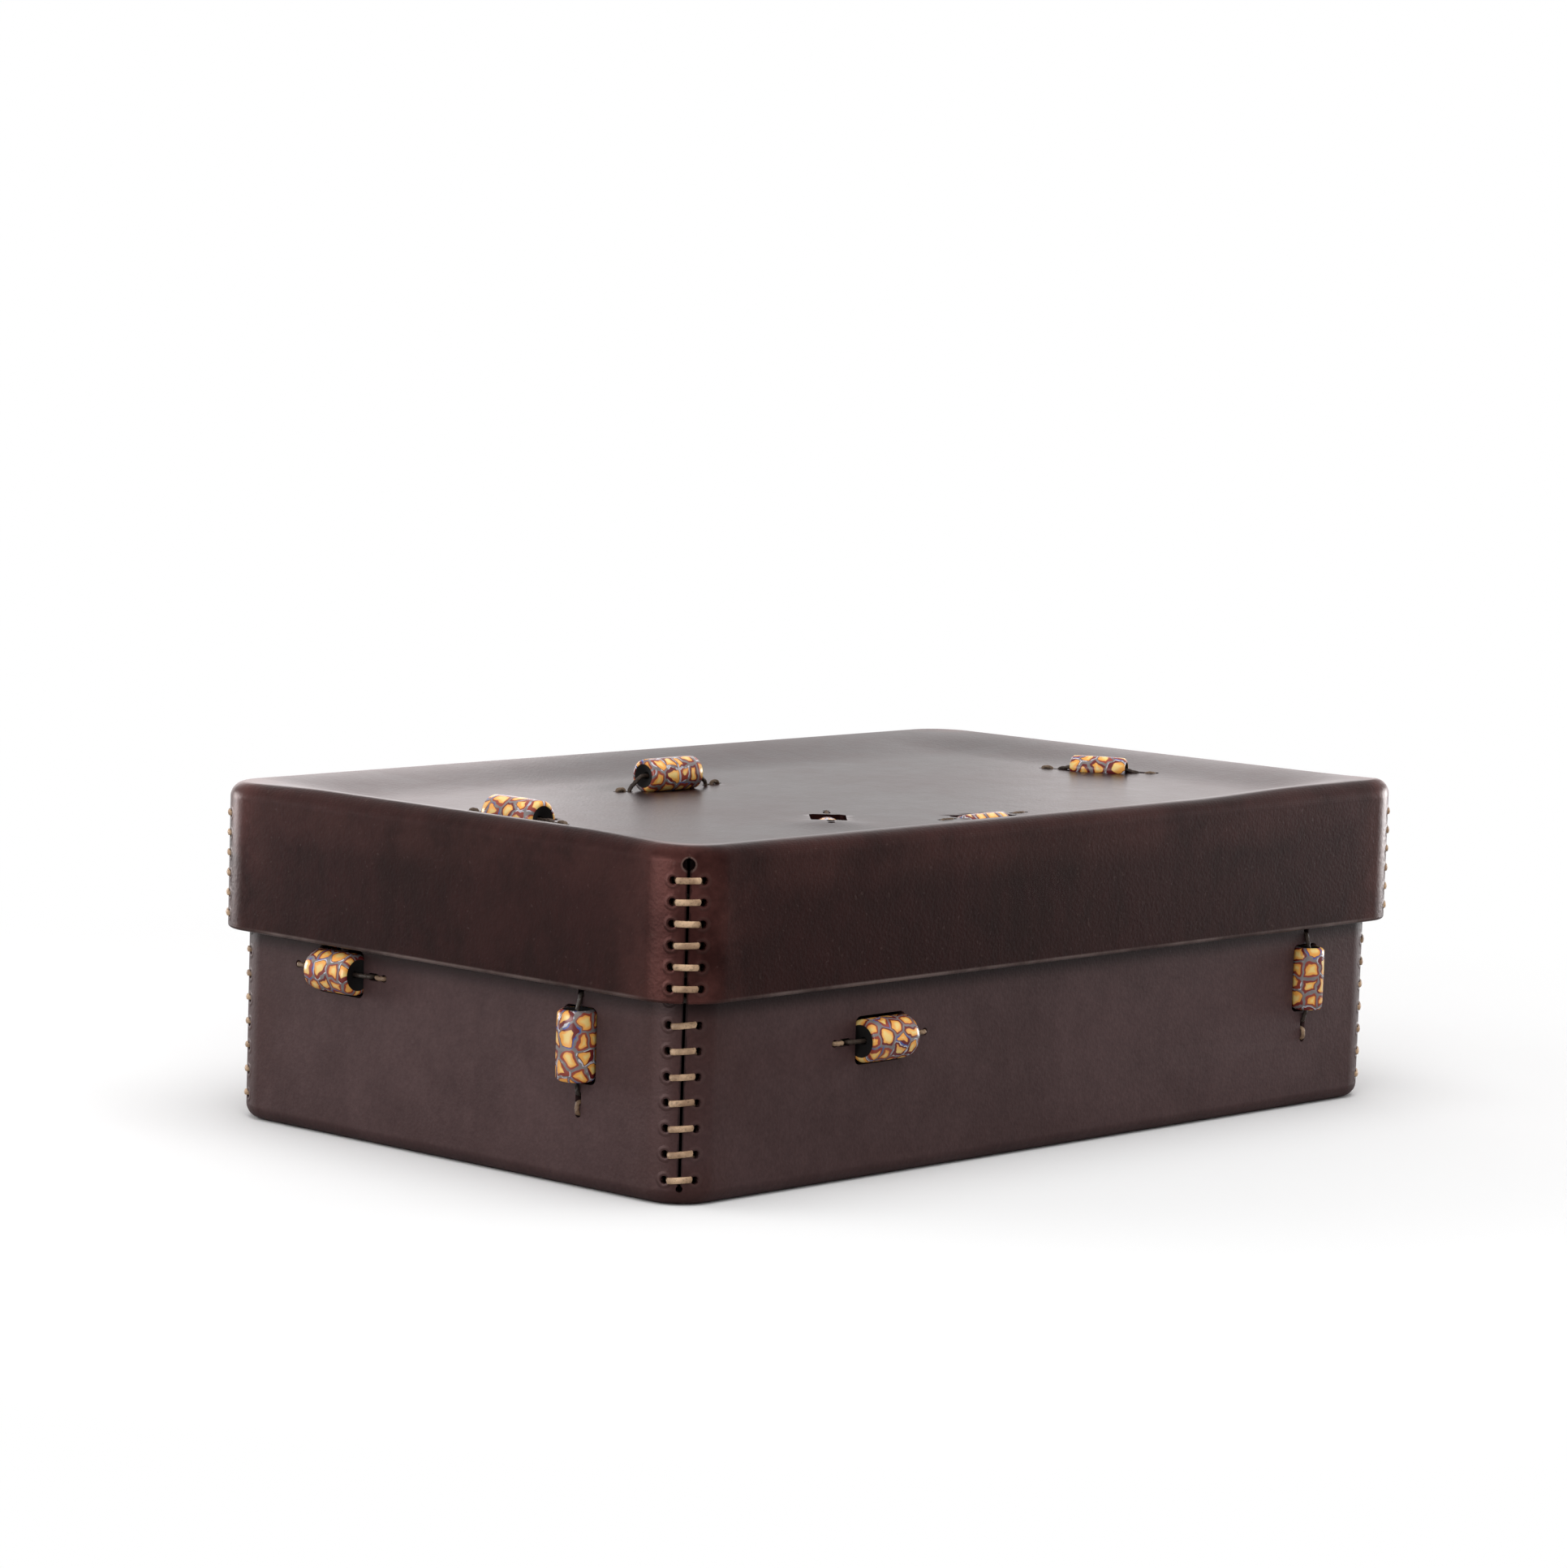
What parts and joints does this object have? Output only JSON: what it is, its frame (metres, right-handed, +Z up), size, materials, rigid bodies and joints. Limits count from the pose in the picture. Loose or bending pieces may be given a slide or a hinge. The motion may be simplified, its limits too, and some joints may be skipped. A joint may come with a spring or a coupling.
{
  "type": "leather box",
  "caption": "Low rectangular leather box with a deep lift-off lid, laced corner seams and glass beads threaded into windows in the leather, for papers and keepsakes.",
  "frame": {"origin": "middle of the tray's flat underside", "axes": "+X along the long side, +Y towards the back long wall, +Z up through the lid"},
  "size_m": [0.3354, 0.2056, 0.1095],
  "materials": {
    "lid_leather": "dark brown, burnished and glossy",
    "tray_leather": "dark brown, satin",
    "waxed_thread": "tan waxed twist",
    "bead_glass": "opaque mosaic glass, polished"
  },
  "bodies": {
    "tray": {"tray_shell": "tray_leather", "tray_lacing_front_left": "waxed_thread", "tray_lacing_front_right": "waxed_thread", "tray_lacing_back_right": "waxed_thread", "tray_lacing_back_left": "waxed_thread", "tray_bead_1": "bead_glass", "tray_bead_2": "bead_glass", "tray_bead_3": "bead_glass", "tray_bead_4": "bead_glass", "tray_bead_5": "bead_glass", "tray_bead_6": "bead_glass", "tray_bead_7": "bead_glass", "tray_bead_8": "bead_glass", "tray_bead_thread_1": "waxed_thread", "tray_bead_thread_2": "waxed_thread", "tray_bead_thread_3": "waxed_thread", "tray_bead_thread_4": "waxed_thread", "tray_bead_thread_5": "waxed_thread", "tray_bead_thread_6": "waxed_thread", "tray_bead_thread_7": "waxed_thread", "tray_bead_thread_8": "waxed_thread"},
    "lid": {"lid_shell": "lid_leather", "lid_lacing_front_left": "waxed_thread", "lid_lacing_front_right": "waxed_thread", "lid_lacing_back_right": "waxed_thread", "lid_lacing_back_left": "waxed_thread", "lid_bead_1": "bead_glass", "lid_bead_2": "bead_glass", "lid_bead_3": "bead_glass", "lid_bead_4": "bead_glass", "lid_bead_5": "bead_glass", "lid_bead_thread_1": "waxed_thread", "lid_bead_thread_2": "waxed_thread", "lid_bead_thread_3": "waxed_thread", "lid_bead_thread_4": "waxed_thread", "lid_bead_thread_5": "waxed_thread"}
  },
  "joints": [
    {"name": "lid_lift", "type": "slide", "parent": "tray", "child": "lid", "axis": [0, 0, 1], "range_m": [0, 0.12]}
  ]
}
